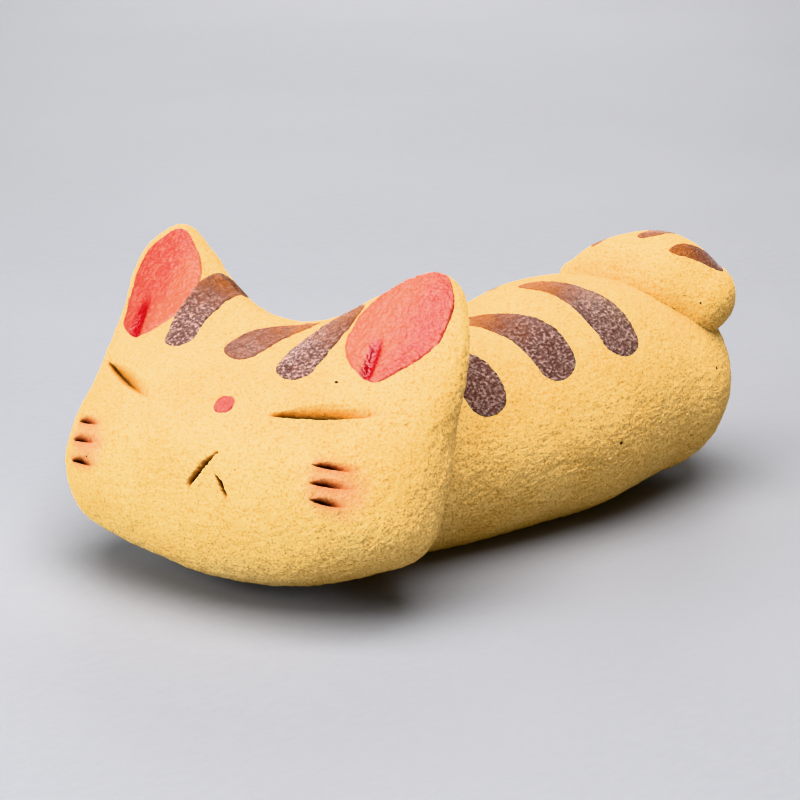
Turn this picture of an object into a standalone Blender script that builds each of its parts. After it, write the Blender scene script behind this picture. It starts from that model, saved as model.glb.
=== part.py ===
"""A sleeping tabby cat, hand formed from three pieces of clay and painted with enamel.

The cat lies on its belly along X, with its head at -X and its tail at +X, and its
origin is on the ground under its middle. Lengths here are in millimetres, and MM
scales the finished points to metres.

The head, body and tail are separate clay pieces, stuck together with slip. The ear
linings, the nose and the stripes are enamel, fired on top of the clay in thin layers.
"""

import math

import bmesh
import bpy
from mathutils import Euler, Matrix, Vector
from mathutils.bvhtree import BVHTree

MM = 0.001
MIDDLE = (-1.1, 3.1)  # x and y of the middle of the whole cat, which goes over the origin
CLAY_GAP = 0.3  # the slip between two pieces of clay
ENAMEL_GAP = 0.2
ENAMEL_THICKNESS = 0.3
OUTSIDE = 40.0  # further out than any surface, for finding points on one
DROP = 3.0  # how far above the clay an enamel point starts before it is dropped

# A roll of clay is a list of stations: x, y, z of its middle, and its radius.
BODY_ROLL = [(-8, 0, 10.3, 11.0), (3, -0.2, 10.6, 11.7), (14, 0, 11.7, 12.6), (25, 0, 11.2, 10.6)]
BODY_ENDS = (8.0, 10.7)  # how far the rounded ends reach past the first and last stations
TAIL_ROLL = [(22.4, 6.6, 21.0, 2.4), (24.4, 2.9, 22.3, 4.0), (27.3, -1.4, 22.3, 5.0), (29.9, -5.1, 20.3, 4.1)]
TAIL_ENDS = (1.8, 3.6)

# The head's own axes: x to the cat's left, -y the way the face looks, z up the face.
HEAD_CENTRE = (-23.0, 1.8, 15.2)
HEAD_TILT = 24.4  # degrees the face leans back
HEAD_TURN = 19.4  # degrees the face turns from -X towards -Y
HEAD_OUTLINE = [  # x and z, from the chin round the cat's right ear, then round its left ear
    (-1, -15.2), (-7.5, -14.5), (-13.0, -13.4), (-17.5, -11.5), (-20.0, -7.4), (-19.7, -2.5), (-18.9, 2.5),
    (-19.6, 8.0), (-20.6, 13.0), (-19.9, 16.7), (-17.0, 18.9), (-13.6, 17.2), (-9.8, 14.4), (-5.2, 11.9),
    (0.5, 11.0), (5.0, 12.3), (9.0, 15.6), (13.0, 18.3), (16.5, 16.9), (18.8, 12.8), (20.0, 8.0),
    (20.4, 2.5), (20.6, -3.5), (19.6, -8.8), (14.5, -11.8), (7.5, -14.3),
]
FACE_DEPTH = 11.5  # from the head's widest section to the face
NAPE_DEPTH = 10.0
EAR_FRONT_DEPTH = 4.0
EAR_BACK_DEPTH = 4.6
EAR_LEAN = 0.25  # how fast the ears fall back with height
EAR_LEAN_START = 4.0

# Slits cut in the face: x and z of both ends, width and depth.
SLITS = {
    "right_eye": ((-15.6, 2.7), (-7.8, 0.4), 0.9, 1.0),
    "left_eye": ((6.6, 0.6), (15.6, 2.8), 1.2, 1.2),
    "mouth_right_stroke": ((2.7, -3.8), (0.1, -7.2), 0.8, 1.8),
    "mouth_left_stroke": ((2.9, -5.8), (4.0, -7.6), 0.6, 0.9),
    "right_cheek_upper": ((-16.2, -3.2), (-13.3, -3.1), 0.6, 0.9),
    "right_cheek_middle": ((-16.4, -5.1), (-13.2, -4.9), 0.6, 0.9),
    "right_cheek_lower": ((-16.2, -7.1), (-13.3, -7.2), 0.6, 0.9),
    "left_cheek_upper": ((12.4, -2.8), (15.7, -2.6), 0.8, 1.0),
    "left_cheek_middle": ((12.5, -4.5), (15.7, -4.2), 0.8, 1.0),
    "left_cheek_lower": ((12.7, -6.0), (15.6, -5.9), 0.8, 1.0),
}

# Brush strokes: two surface coordinates and the half width, at stations from tip to end.
# On the head the coordinates are x and z. On the body they are the distance along X, and
# on the tail the fraction of its length, and the angle in degrees from the top, which is
# positive towards the cat's left side.
HEAD_STROKES = {
    "ear_enamel_right": [(-13.5, 6.5, 2.0), (-14.6, 9.6, 3.5), (-15.3, 13.2, 3.7), (-16.2, 17.0, 1.8)],
    "ear_enamel_left": [(13.7, 6.1, 2.2), (13.2, 9.2, 3.9), (13.4, 13.2, 4.3), (14.0, 17.0, 2.4)],
    "nose_enamel": [(0.7, 1.0, 0.9), (1.3, 1.1, 1.0), (1.9, 1.2, 1.0), (2.5, 1.3, 0.9)],
    "forehead_stripe_right": [(-8.0, 12.3, 1.7), (-8.7, 10.9, 1.9), (-8.6, 8.7, 1.9), (-7.8, 6.0, 1.5)],
    "forehead_stripe_middle": [(2.8, 10.4, 0.6), (0.6, 9.2, 1.4), (-0.9, 7.6, 2.0), (-1.3, 5.7, 1.8)],
    "forehead_stripe_left": [(7.4, 12.6, 1.2), (6.6, 10.7, 1.8), (6.0, 7.8, 2.0), (6.2, 4.8, 1.7)],
}
BODY_STROKES = {
    "left_stripe_front": [(-8.0, 0, 0.9), (-5.7, 20, 1.8), (-3.6, 41, 2.5), (-3.5, 63, 2.2)],
    "left_stripe_middle": [(0.8, -4, 1.0), (4.1, 12, 1.7), (6.2, 32, 2.4), (6.2, 57, 2.0)],
    "left_stripe_rear": [(11.2, -11, 0.8), (12.9, 11, 1.9), (14.0, 34, 2.7), (14.2, 58, 2.3)],
    "right_stripe_front": [(-8.0, -26, 0.7), (-6.6, -38, 1.4), (-5.4, -50, 2.0), (-5.0, -64, 1.8)],
    "right_stripe_middle": [(1.0, -26, 0.7), (3.2, -38, 1.4), (4.8, -50, 2.0), (5.0, -64, 1.8)],
    "right_stripe_rear": [(10.6, -26, 0.7), (12.8, -38, 1.4), (14.4, -50, 2.0), (14.6, -64, 1.8)],
}
TAIL_STROKES = {
    "tail_stripe_upper": [(0.25, 16, 0.6), (0.27, 0, 0.8), (0.27, -16, 0.8), (0.25, -32, 0.7)],
    "tail_stripe_middle": [(0.52, 18, 0.7), (0.58, 3, 1.0), (0.62, -14, 1.2), (0.64, -32, 1.2)],
    "tail_stripe_tip": [(0.69, 34, 0.6), (0.79, 14, 1.0), (0.91, -2, 1.3), (1.0, -16, 1.4)],
}

CLAY_COLOUR = (0.84, 0.60, 0.25, 1)
STRIPE_COLOUR = (0.17, 0.07, 0.05, 1)
EAR_COLOUR = (0.78, 0.16, 0.12, 1)
NOSE_COLOUR = (0.72, 0.15, 0.13, 1)


def smoothstep(low, high, value):
    t = min(max((value - low) / (high - low), 0.0), 1.0)
    return t * t * (3 - 2 * t)


def smooth_curve(points, t):
    """The point at t, from 0 to 1, on a smooth curve through all the points."""
    last = len(points) - 1
    at = min(max(t, 0.0), 1.0) * last
    i = min(int(at), last - 1)
    f = at - i
    p1, p2 = Vector(points[i]), Vector(points[i + 1])
    p0 = Vector(points[i - 1]) if i > 0 else 2 * p1 - p2
    p3 = Vector(points[i + 2]) if i + 2 <= last else 2 * p2 - p1
    bend = (2 * p0 - 5 * p1 + 4 * p2 - p3) * f**2 + (3 * p1 - p0 - 3 * p2 + p3) * f**3
    return p1 + ((p2 - p0) * f + bend) / 2


def roll_frame(stations, t):
    """The middle, the radius, and the along, side and up directions of a roll at t."""
    at = smooth_curve(stations, t)
    ahead = smooth_curve(stations, min(t + 0.01, 1.0))
    behind = smooth_curve(stations, max(t - 0.01, 0.0))
    along = (ahead - behind).xyz.normalized()
    side = along.cross(Vector((0, 0, 1))).normalized()
    return at.xyz, at.w, along, side, side.cross(along)


def roll_point(direction, stations, ends, swell=0.0):
    """Where a point of a unit sphere goes on a roll with rounded ends."""
    latitude = math.degrees(math.asin(max(-1.0, min(1.0, direction.z))))
    t, slide, shrink = (latitude + 45) / 90, 0.0, 1.0
    if abs(latitude) > 45:
        angle = math.radians(2 * (90 - abs(latitude)))
        t = 1.0 if latitude > 0 else 0.0
        slide = math.cos(angle) * (ends[1] + swell if latitude > 0 else -ends[0] - swell)
        shrink = math.sin(angle)
    middle, radius, along, side, up = roll_frame(stations, t)
    ring = math.hypot(direction.x, direction.y) or 1.0
    across = side * (direction.x / ring) + up * (direction.y / ring)
    return middle + along * slide + across * ((radius + swell) * shrink)


def body_point(direction):
    point = roll_point(direction, BODY_ROLL, BODY_ENDS)
    point.z = max(point.z, 0.0)
    return point


def body_seat_point(direction):
    return roll_point(direction, BODY_ROLL, BODY_ENDS, CLAY_GAP)


def tail_point(direction):
    return roll_point(direction, TAIL_ROLL, TAIL_ENDS)


def outline_point(turn):
    """The head's outline at a turn from 0 to 1 round it, as x and z."""
    count = len(HEAD_OUTLINE)
    at = (turn % 1.0) * count
    i = int(at)
    near = [(*HEAD_OUTLINE[(i + k) % count], 0) for k in (-1, 0, 1, 2)]
    return smooth_curve(near, (1 + at - i) / 3).xy


def head_shape(direction):
    """Where a point of a unit sphere goes on the head, in the head's own axes."""
    across = math.hypot(direction.x, direction.y)
    rim = outline_point(math.atan2(-direction.x, -direction.y) / math.tau)
    x, z = rim * across**0.9
    thin = smoothstep(-4, 14, z)
    bulge = abs(direction.z) ** 0.85
    if direction.z > 0:
        y = -(FACE_DEPTH + (EAR_FRONT_DEPTH - FACE_DEPTH) * thin) * bulge
    else:
        y = (NAPE_DEPTH + (EAR_BACK_DEPTH - NAPE_DEPTH) * thin) * bulge
    return Vector((x, y + EAR_LEAN * max(0.0, z - EAR_LEAN_START), z))


def head_placing():
    turn = Euler((math.radians(-HEAD_TILT), 0, math.radians(HEAD_TURN - 90))).to_matrix().to_4x4()
    return Matrix.Translation(HEAD_CENTRE) @ turn


def head_point(direction):
    point = head_placing() @ head_shape(direction)
    point.z = max(point.z, 0.0)
    return point


def collection(name):
    made = bpy.data.collections.new(name)
    bpy.context.scene.collection.children.link(made)
    return made


def material(name, colour, roughness, metallic=0.0):
    made = bpy.data.materials.new(name)
    made.use_nodes = True
    shader = made.node_tree.nodes["Principled BSDF"]
    shader.inputs["Base Color"].default_value = colour
    shader.inputs["Roughness"].default_value = roughness
    shader.inputs["Metallic"].default_value = metallic
    made.diffuse_color = colour
    return made


def face_outwards(shape):
    shape.normal_update()
    bmesh.ops.recalc_face_normals(shape, faces=shape.faces)


def object_from(shape, name, group, look=None):
    """An object made from a bmesh whose points are in metres."""
    mesh = bpy.data.meshes.new(name)
    shape.to_mesh(mesh)
    shape.free()
    mesh.shade_smooth()
    if look:
        mesh.materials.append(look)
    made = bpy.data.objects.new(name, mesh)
    group.objects.link(made)
    return made


def clay_piece(name, point_of, segments, rings, group, look=None):
    """A lump of clay: a unit sphere with every point moved by point_of."""
    shape = bmesh.new()
    bmesh.ops.create_uvsphere(shape, u_segments=segments, v_segments=rings, radius=1)
    for vertex in shape.verts:
        vertex.co = point_of(vertex.co.normalized()) * MM
    face_outwards(shape)
    return object_from(shape, name, group, look)


def hide_cutter(made):
    made.hide_render = True
    made.display_type = "WIRE"


def cut(piece, cutter):
    modifier = piece.modifiers.new("cut_" + cutter.name, "BOOLEAN")
    modifier.operation = "DIFFERENCE"
    modifier.object = cutter


def surface_of(piece):
    """A tree that finds points on the piece's uncut surface, in metres."""
    mesh = piece.data
    return BVHTree.FromPolygons([v.co for v in mesh.vertices], [list(p.vertices) for p in mesh.polygons])


def on_face(tree, x, z):
    """The surface point and normal at x and z on the face."""
    placing = head_placing()
    start = (placing @ Vector((x, -OUTSIDE, z))) * MM
    return tree.ray_cast(start, placing.to_3x3() @ Vector((0, 1, 0)))[:2]


def on_body(tree, along, degrees):
    t = (along - BODY_ROLL[0][0]) / (BODY_ROLL[-1][0] - BODY_ROLL[0][0])
    return on_roll(tree, BODY_ROLL, t, degrees)


def on_tail(tree, fraction, degrees):
    return on_roll(tree, TAIL_ROLL, fraction, degrees)


def on_roll(tree, stations, t, degrees):
    """The surface point and normal at an angle from the top of a roll."""
    middle, _, _, side, up = roll_frame(stations, t)
    outward = side * math.sin(math.radians(degrees)) + up * math.cos(math.radians(degrees))
    return tree.ray_cast((middle + outward * OUTSIDE) * MM, -outward)[:2]


def slit_cutter(name, first, last, width, depth, tree, group):
    """A flattened ellipsoid sunk in the face, with its long axis from first to last."""
    start, start_normal = on_face(tree, *first)
    end, end_normal = on_face(tree, *last)
    along = (end - start).normalized()
    side = (start_normal + end_normal).cross(along).normalized()
    deep = along.cross(side)
    middle = on_face(tree, (first[0] + last[0]) / 2, (first[1] + last[1]) / 2)[0]
    half_length = (end - start).length / 2
    shape = bmesh.new()
    bmesh.ops.create_uvsphere(shape, u_segments=12, v_segments=8, radius=1)
    for vertex in shape.verts:
        x, y, z = vertex.co
        vertex.co = middle + along * (z * half_length) + side * (x * width / 2 * MM) + deep * (y * depth * MM)
    face_outwards(shape)
    made = object_from(shape, name + "_cutter", group)
    hide_cutter(made)
    return made


def stroke_width(stations, t):
    """The half width of a brush stroke at t, with both its ends rounded."""
    rounding = min(1.0, t / 0.16, (1 - t) / 0.16)
    return smooth_curve(stations, t).z * max(0.3, math.sqrt(1 - (1 - rounding) ** 2))


def enamel(name, stations, tree, place, group, look, steps=11, half_rows=2):
    """A thin layer of enamel that follows the clay, along one brush stroke.

    The stroke's middle line is placed first, and each row of points across it is dropped
    on to the clay from just above.
    """
    centres = []
    for i in range(steps + 1):
        at = smooth_curve(stations, i / steps)
        centres.append(place(tree, at.x, at.y))
    shape = bmesh.new()
    rows = []
    for i, (centre, normal) in enumerate(centres):
        ahead = centres[min(i + 1, steps)][0] - centres[max(i - 1, 0)][0]
        side = normal.cross(ahead).normalized()
        half_width = stroke_width(stations, i / steps) * MM
        row = []
        for k in range(-half_rows, half_rows + 1):
            start = centre + side * (half_width * k / half_rows) + normal * DROP * MM
            point, outward = tree.ray_cast(start, -normal)[:2]
            row.append(shape.verts.new(point + outward * ENAMEL_GAP * MM))
        rows.append(row)
    for row, after in zip(rows, rows[1:]):
        for k in range(len(row) - 1):
            shape.faces.new((row[k], after[k], after[k + 1], row[k + 1]))
    made = object_from(shape, name, group, look)
    solidify = made.modifiers.new("thickness", "SOLIDIFY")
    solidify.thickness = ENAMEL_THICKNESS * MM
    solidify.offset = 1
    return made


def centre_on_origin(groups):
    """Hang every piece and cutter on one empty that brings the cat's middle over the origin."""
    holder = bpy.data.objects.new("cat_middle", None)
    holder.location = (-MIDDLE[0] * MM, -MIDDLE[1] * MM, 0)
    bpy.context.scene.collection.objects.link(holder)
    for group in groups:
        for piece in group.objects:
            piece.parent = holder


def clear_scene():
    for obj in list(bpy.data.objects):
        bpy.data.objects.remove(obj)


def main():
    clear_scene()
    cat = collection("cat_figurine")
    cutters = collection("cutters")

    body = clay_piece("body", body_point, 40, 30, cat, material("body", CLAY_COLOUR, 0.85))
    tail = clay_piece("tail", tail_point, 20, 20, cat, material("tail", CLAY_COLOUR, 0.85))
    head = clay_piece("head", head_point, 78, 28, cat, material("head", CLAY_COLOUR, 0.85))
    face, back, tail_top = surface_of(head), surface_of(body), surface_of(tail)

    seat = clay_piece("body_seat_cutter", body_seat_point, 40, 30, cutters)
    hide_cutter(seat)
    cut(head, seat)
    cut(tail, seat)
    for name, (first, last, width, depth) in SLITS.items():
        cut(head, slit_cutter(name, first, last, width, depth, face, cutters))

    for name, stations in HEAD_STROKES.items():
        colour, roughness = STRIPE_COLOUR, 0.45
        if name.startswith("ear"):
            colour, roughness = EAR_COLOUR, 0.3
        if name.startswith("nose"):
            colour = NOSE_COLOUR
        enamel(name, stations, face, on_face, cat, material(name, colour, roughness))
    for name, stations in BODY_STROKES.items():
        enamel(name, stations, back, on_body, cat, material(name, STRIPE_COLOUR, 0.45))
    for name, stations in TAIL_STROKES.items():
        enamel(name, stations, tail_top, on_tail, cat, material(name, STRIPE_COLOUR, 0.45))
    centre_on_origin((cat, cutters))


main()
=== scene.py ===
"""How the sleeping clay cat looks: sandy fired clay, brushed enamel and a pale studio floor.

Every CAD node is replaced by a finer piece that is made from the same formulas. The clay is
a sphere with its points moved on to the shape, then pressed, pitted, creased and cut. The
enamel is a thin uneven skin that follows the finished clay.

Lengths are in millimetres in the cat's own axes: the head is at -X, the cat's left side is
at -Y and up is +Z. The head also has its own axes: x to the cat's left, -y the way the face
looks, z up the face.
"""

import math

import bmesh
import bpy
import numpy as np
from mathutils import Euler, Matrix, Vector
from mathutils.bvhtree import BVHTree


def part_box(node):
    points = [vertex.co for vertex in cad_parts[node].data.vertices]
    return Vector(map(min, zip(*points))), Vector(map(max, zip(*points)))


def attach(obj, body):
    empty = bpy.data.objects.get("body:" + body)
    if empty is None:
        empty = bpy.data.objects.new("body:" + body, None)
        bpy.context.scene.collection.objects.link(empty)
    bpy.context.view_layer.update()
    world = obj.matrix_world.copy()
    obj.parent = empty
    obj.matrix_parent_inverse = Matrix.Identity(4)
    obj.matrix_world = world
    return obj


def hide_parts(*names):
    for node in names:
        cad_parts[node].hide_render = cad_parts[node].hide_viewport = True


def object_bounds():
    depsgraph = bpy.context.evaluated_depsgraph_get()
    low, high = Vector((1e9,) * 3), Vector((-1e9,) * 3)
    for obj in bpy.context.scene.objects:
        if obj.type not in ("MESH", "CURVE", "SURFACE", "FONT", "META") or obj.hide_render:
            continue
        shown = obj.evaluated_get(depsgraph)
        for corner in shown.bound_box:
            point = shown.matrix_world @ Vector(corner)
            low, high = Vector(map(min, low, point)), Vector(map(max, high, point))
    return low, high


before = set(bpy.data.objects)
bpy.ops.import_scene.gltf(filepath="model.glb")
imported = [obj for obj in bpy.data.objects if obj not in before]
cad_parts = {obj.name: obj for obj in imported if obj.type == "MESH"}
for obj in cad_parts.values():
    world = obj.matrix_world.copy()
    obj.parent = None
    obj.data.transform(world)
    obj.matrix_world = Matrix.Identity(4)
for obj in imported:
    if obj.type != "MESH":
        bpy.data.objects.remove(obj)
cad_low, cad_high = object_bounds()


def linear(red, green, blue):
    """A display colour of 0 to 255 as the shader's linear colour."""
    values = [c / 255 for c in (red, green, blue)]
    return (*[c / 12.92 if c <= 0.04045 else ((c + 0.055) / 1.055) ** 2.4 for c in values], 1.0)


MM = 0.001
OUTSIDE = 40.0  # further out than any surface, for finding points on one
CREST_STEP = 0.1  # how finely the crest of the head is searched for
ROLL_STEP = 0.01  # how far ahead and behind, as a share of a roll, its direction is measured
DROP = 3.0  # how far above the clay an enamel point starts before it is dropped

# A roll of clay is a list of stations: x, y, z of its middle, and its radius.
BODY_ROLL = [(-8, 0, 10.3, 11.0), (3, -0.2, 10.6, 11.7), (14, 0, 11.7, 12.6), (25, 0, 11.2, 10.6)]
BODY_ENDS = (8.0, 10.7)
TAIL_ROLL = [
    (22.4, 6.6, 21.0, 2.4), (24.4, 2.9, 22.3, 4.0), (27.3, -1.4, 22.3, 5.0), (29.9, -5.1, 20.3, 4.1),
]
TAIL_ENDS = (1.8, 3.6)

HEAD_CENTRE = (-23.0, 1.8, 15.2)
HEAD_TILT = 24.4
HEAD_TURN = 19.4
HEAD_OUTLINE = [  # x and z, from the chin round the cat's right ear, then round its left ear
    (-1, -15.2), (-7.5, -14.4), (-13.0, -13.5), (-17.4, -11.7), (-20.0, -7.4), (-19.7, -2.5), (-18.9, 2.5),
    (-19.6, 8.0), (-20.6, 13.0), (-19.9, 16.7), (-17.0, 18.9), (-13.6, 17.2), (-9.8, 14.4), (-5.2, 11.9),
    (0.5, 11.0), (5.0, 12.3), (9.0, 15.3), (13.0, 18.1), (16.5, 16.9), (18.8, 12.8), (20.0, 8.0),
    (20.4, 2.5), (20.6, -3.5), (19.6, -8.8), (14.5, -11.8), (7.5, -14.3),
]
FACE_DEPTH = 11.5
NAPE_DEPTH = 10.0
EAR_FRONT_DEPTH = 4.0
EAR_BACK_DEPTH = 4.6
EAR_LEAN = 0.25
EAR_LEAN_START = 4.0
EAR_HEIGHTS = (-4, 14)  # from here to here up the face, the head thins from face to ears
RIM_FULLNESS = 0.9  # below 1, these make the head fuller than an ellipse
DEPTH_FULLNESS = 0.85

HEAD_CUTS = 170  # squares along each side of the cube that becomes the head's sphere
BODY_CUTS = 170
TAIL_CUTS = 90
SMOOTH_CUTS = 90  # for the smooth shapes that only place the brush strokes
SKIN = 0.12  # how far the rough surface lies inside the smooth shape on average
CONTACT = 0.03  # the gap between two pieces of clay that touch

# The clay's unevenness.
HAND_RELIEF = [(9.0, 0.09), (4.0, 0.07), (1.7, 0.050), (0.9, 0.050), (0.5, 0.045)]  # size and height
PITS = (90, (0.2, 0.5), (0.05, 0.18))  # how many, and the range of their radius and of their depth
FLANK_HEIGHTS = (17, 10)  # the flank's wrinkles begin below the first and are full below the second
FLANK_WRINKLES = (0.02, 0.06)  # their depth everywhere, and what is added on the flank
FLANK_SCRATCHES = 0.05
TAIL_RELIEF = 0.6  # the tail's share of the hand relief
TAIL_TIP = (26, 31)  # along X, from where the tail's end gets rougher to where it is roughest
TAIL_TIP_WRINKLES = 0.10
TAIL_TIP_PITS = (40, (0.2, 0.5), (0, 0.2))
CHEEK_WRINKLES = (0.015, 0.06)  # their depth everywhere, and what is added on the left cheek
CHEEK_ACROSS = (4, 15)  # x on the head, from where that cheek begins to where it is full
CHEEK_DOWN = (6, -8)  # and the same for z
WRINKLE_SHARPNESS = 4.5  # the higher, the thinner the wrinkles
WRINKLE_PATCHES = (4.5, -0.25, 0.35)  # size, and the noise values between which they appear

# Knife slits in the face: x and z of the sharp end and of the fading end, the width of the
# opening, the depth, how far the line sags, how hollow its slope is, the share of its length
# that is full depth, and how strong the painted shade inside it is.
SLITS = {
    "right_eye": ((-16.2, 3.2), (-5.6, 0.2), 1.50, 1.3, 0.60, 1.1, 0.40, 0.52),
    "left_eye": ((6.3, 0.9), (17.8, 3.8), 1.55, 1.4, 0.60, 1.1, 0.40, 0.58),
    "mouth_right_stroke": ((2.9, -3.4), (-0.1, -7.5), 0.55, 1.7, 0.0, 0.4, 0.80, 1.0),
    "mouth_left_stroke": ((2.8, -5.4), (4.4, -8.1), 0.42, 1.2, 0.0, 0.6, 0.30, 0.9),
    "right_cheek_upper": ((-16.5, -3.2), (-11.3, -3.1), 0.85, 0.9, 0.1, 1.0, 0.05, 0.7),
    "right_cheek_middle": ((-16.7, -5.1), (-11.3, -4.9), 0.90, 0.9, 0.1, 1.0, 0.05, 0.7),
    "right_cheek_lower": ((-16.5, -7.1), (-11.3, -7.2), 0.80, 0.9, 0.1, 1.0, 0.10, 0.9),
    "left_cheek_upper": ((12.2, -2.8), (16.9, -2.5), 0.75, 1.0, 0.15, 1.0, 0.0, 0.85),
    "left_cheek_middle": ((12.3, -4.5), (16.8, -4.1), 0.80, 1.0, 0.15, 1.0, 0.0, 0.85),
    "left_cheek_lower": ((12.5, -6.0), (16.4, -5.9), 0.75, 1.0, 0.2, 0.9, 0.10, 0.85),
}
SLIT_WALL = 0.09  # width of a slit's steep side
SLIT_REACH = (1.5, 1.0)  # the mesh is cut finer twice, ever closer to a slit
SLIT_WOBBLE = (0.35, 0.05)  # size and strength of the unsteadiness of the knife's line
SLIT_ROUGH = (2.0, 0.8)  # how much of that the mouth and the other slits have
SLIT_START = (-0.01, 0.10)  # shares of its length between which it reaches its full depth
SLIT_NARROW = 0.2  # how wide the sharp end is, as a share of the opening
SLIT_WIDENS = 0.4  # the share of its length at which it is fully open
LIP_HEIGHT = 0.07  # of the clay that the knife pushed up beside the slit
LIP_OFFSET = 0.25
LIP_WIDTH = 0.28
SMEAR_OFFSET = 0.15  # of the pigment smeared beside a cheek mark
SMEAR_WIDTH = 0.5
SMEAR_START = (-0.03, 0.15)  # shares of the mark's length between which the smear sets in
SMEAR_END = (0.4, 1.1)  # and between which it fades out
MARKED_BEFORE = 2  # marks are only on the part of the head before this y
MARKED_ABOVE = 6  # or above this z, where the ears lean back
SPHERE_FRONT = 0.3  # how far up its axis a point of the sphere is if it goes to the face
BLUSHES = [((14.6, -4.6), 3.4), ((-13.8, -5.2), 3.2)]  # middle and radius
BLUSH_FLATNESS = 0.9
BLUSH_RAGS = (1.2, 0.15)  # size and strength of the unevenness of its edge
BLUSH_FADE = (0.25, 1.15)  # shares of the radius from where it fades to where it ends
PINCHES = [  # folds in the ears: both ends, half width and depth
    ((12.9, 6.6), (11.6, 11.2), 0.50, 0.50),
    ((-14.0, 6.2), (-15.9, 11.0), 0.60, 0.35),
]
PINCH_FADE = (0.1, 1.1)  # shares of its length between which a fold fades out
POOL_WIDTHS = (0.6, 2.2)  # where the enamel in a fold is deepest and where it ends, in half widths
POOL_FADE = (0.5, 1.2)  # shares of the fold's length between which that enamel fades out
POOL_BEFORE = 0.3  # how far it carries on before the fold, as a share of the fold's length

# Brush strokes: two surface coordinates and the half width, at stations from tip to end.
# On the head they are x and z. On the body they are the distance along X, and on the tail
# the fraction of its length, and the angle in degrees from the top towards the cat's left.
HEAD_STROKES = {
    "ear_enamel_right": [
        (-13.4, 6.3, 2.3), (-14.2, 9.4, 3.9), (-14.9, 12.5, 4.4), (-15.6, 15.5, 4.0), (-16.2, 18.3, 2.3),
    ],
    "ear_enamel_left": [
        (13.9, 6.0, 1.6), (12.9, 9.1, 3.7), (13.0, 12.1, 4.5), (13.7, 15.1, 4.0), (14.4, 18.1, 2.5),
    ],
    "nose_enamel": [(0.5, 1.0, 1.0), (1.2, 1.1, 1.05), (1.9, 1.2, 1.0), (2.6, 1.3, 0.95)],
    "forehead_stripe_right": [(-8.0, 15.2, 1.6), (-8.8, 12.3, 2.0), (-8.8, 9.2, 1.9), (-7.9, 5.9, 1.6)],
    "forehead_stripe_middle": [(3.9, 11.2, 0.6), (1.0, 9.6, 1.4), (-0.8, 8.0, 2.1), (-1.3, 5.8, 1.9)],
    "forehead_stripe_left": [(7.6, 13.6, 1.3), (6.6, 11.0, 2.0), (5.9, 7.9, 2.2), (6.2, 4.7, 1.8)],
}
BODY_STROKES = {
    "left_stripe_front": [(-8.0, 0, 0.9), (-5.7, 20, 1.8), (-3.6, 41, 2.5), (-3.5, 63, 2.2)],
    "left_stripe_middle": [(0.8, -4, 1.0), (4.1, 12, 1.7), (6.2, 32, 2.4), (6.2, 57, 2.0)],
    "left_stripe_rear": [(11.0, -8, 0.8), (12.9, 12, 1.9), (14.0, 34, 2.7), (14.2, 58, 2.3)],
    "right_stripe_front": [(-8.0, -26, 0.7), (-6.6, -38, 1.4), (-5.4, -50, 2.0), (-5.0, -64, 1.8)],
    "right_stripe_middle": [(1.0, -26, 0.7), (3.2, -38, 1.4), (4.8, -50, 2.0), (5.0, -64, 1.8)],
    "right_stripe_rear": [(10.6, -26, 0.7), (12.8, -38, 1.4), (14.4, -50, 2.0), (14.6, -64, 1.8)],
}
TAIL_STROKES = {
    "tail_stripe_upper": [(0.25, 16, 0.6), (0.27, 0, 0.8), (0.27, -16, 0.8), (0.25, -32, 0.7)],
    "tail_stripe_middle": [(0.52, 18, 0.7), (0.58, 3, 1.0), (0.62, -14, 1.2), (0.64, -32, 1.2)],
    "tail_stripe_tip": [(0.69, 36, 0.6), (0.79, 17, 1.2), (0.91, 0, 1.5), (1.0, -14, 1.6)],
}
STROKE_LOAD = {  # how much enamel the brush left, from 0 to 1, at the tip and at the end
    "forehead_stripe_right": (0.15, 1.0),
    "forehead_stripe_middle": (0.15, 0.5),
    "forehead_stripe_left": (0.2, 0.9),
    "left_stripe_front": (0.6, 1.1),
    "left_stripe_middle": (0.0, 1.0),
    "left_stripe_rear": (0.0, 1.1),
    "right_stripe_front": (0.1, 1.0),
    "right_stripe_middle": (0.1, 1.0),
    "right_stripe_rear": (0.1, 1.0),
    "tail_stripe_upper": (0.15, 0.3),
    "tail_stripe_middle": (0.15, 0.3),
    "tail_stripe_tip": (0.1, 0.6),
}
STROKE_STEP = 0.10  # distance between the enamel's points
STROKE_FEWEST = (16, 10)  # rows and columns of them
STROKE_SAMPLES = 25  # how many places along it measure its length
ROUNDING = 0.7  # length of a stroke's rounded ends, as a share of its half width
EDGE_SLOPE = 0.30  # how far in from its edge the enamel reaches its full thickness
ENAMEL_THIN = 0.05
ENAMEL_THICK = 0.12
ENAMEL_ROOT = 0.04  # how far its underside is sunk in the clay's pores
ENAMEL_GRAIN = (0.012, 0.045)  # the height of its crinkles, and what a full load adds to it
CRINKLES = [(0.30, 1.0), (0.55, 0.6)]  # size and share of that height
EDGE_SINK = 0.01  # how far its outermost points go into the clay, to close the skin
LOAD_NOISE = (1.6, 0.14)  # size and strength of the load's unevenness
LOAD_CHANGE = (0.1, 0.8)  # shares of a stroke's length between which its load changes
LOAD_MOST = 1.2  # what the load is kept below
BLUNT = 0.003  # keeps a stroke's two ends from narrowing to a point
BUNCHING = 0.35  # how much closer its rows of points are at its ends
EDGE_PLACES = 50  # the range of the random place that gives each stroke its own edge
EDGE_WANDER = (1.6, 0.05)  # size and share of the half width, for the slow waves of the edge
EDGE_RAGS = [(0.4, 0.06), (0.22, 0.03)]  # size and height of its small notches
EDGE_NARROWEST = 0.8  # half widths below this get no deeper notches
EDGES_APART = 9  # keeps a stroke's two edges from having the same shape
INNER = (slice(1, -1), slice(1, -1))  # a grid's points that aren't on its rim
OUTER_EAR = (11.5, 17.5)  # from here to here the ears' enamel turns from pale to full coral

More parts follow.
